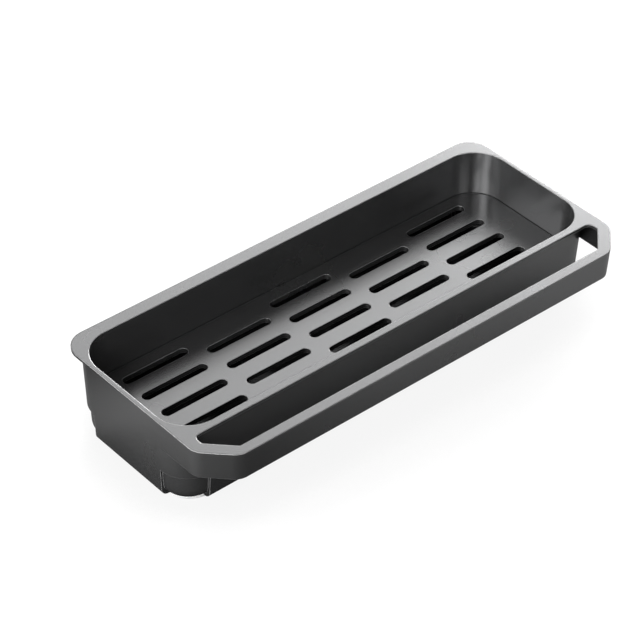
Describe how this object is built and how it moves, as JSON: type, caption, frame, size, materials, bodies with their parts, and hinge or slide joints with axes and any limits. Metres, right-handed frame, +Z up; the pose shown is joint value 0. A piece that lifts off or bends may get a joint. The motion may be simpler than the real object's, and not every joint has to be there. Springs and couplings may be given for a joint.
{
  "type": "kitchen sink caddy",
  "caption": "Long shallow sink tray with a slotted lift-out drain plate, a towel rail moulded along the front, stepped lower corners and soft round feet.",
  "frame": {"origin": "middle of the footprint, on the plane that the feet stand on", "axes": "+X along the width, the towel rail on the -Y side, +Z up"},
  "size_m": [0.262, 0.114, 0.05],
  "materials": {
    "shell": "satin",
    "plate": "satin",
    "foot": "satin"
  },
  "bodies": {
    "caddy": {"caddy_shell": "shell", "foot_front_left": "foot", "foot_front_right": "foot", "foot_back_left": "foot", "foot_back_right": "foot"},
    "plate": {"drain_plate": "plate"}
  },
  "joints": [
    {"name": "plate_lift", "type": "slide", "parent": "caddy", "child": "plate", "axis": [0, 0, 1], "range_m": [0, 0.04]}
  ]
}
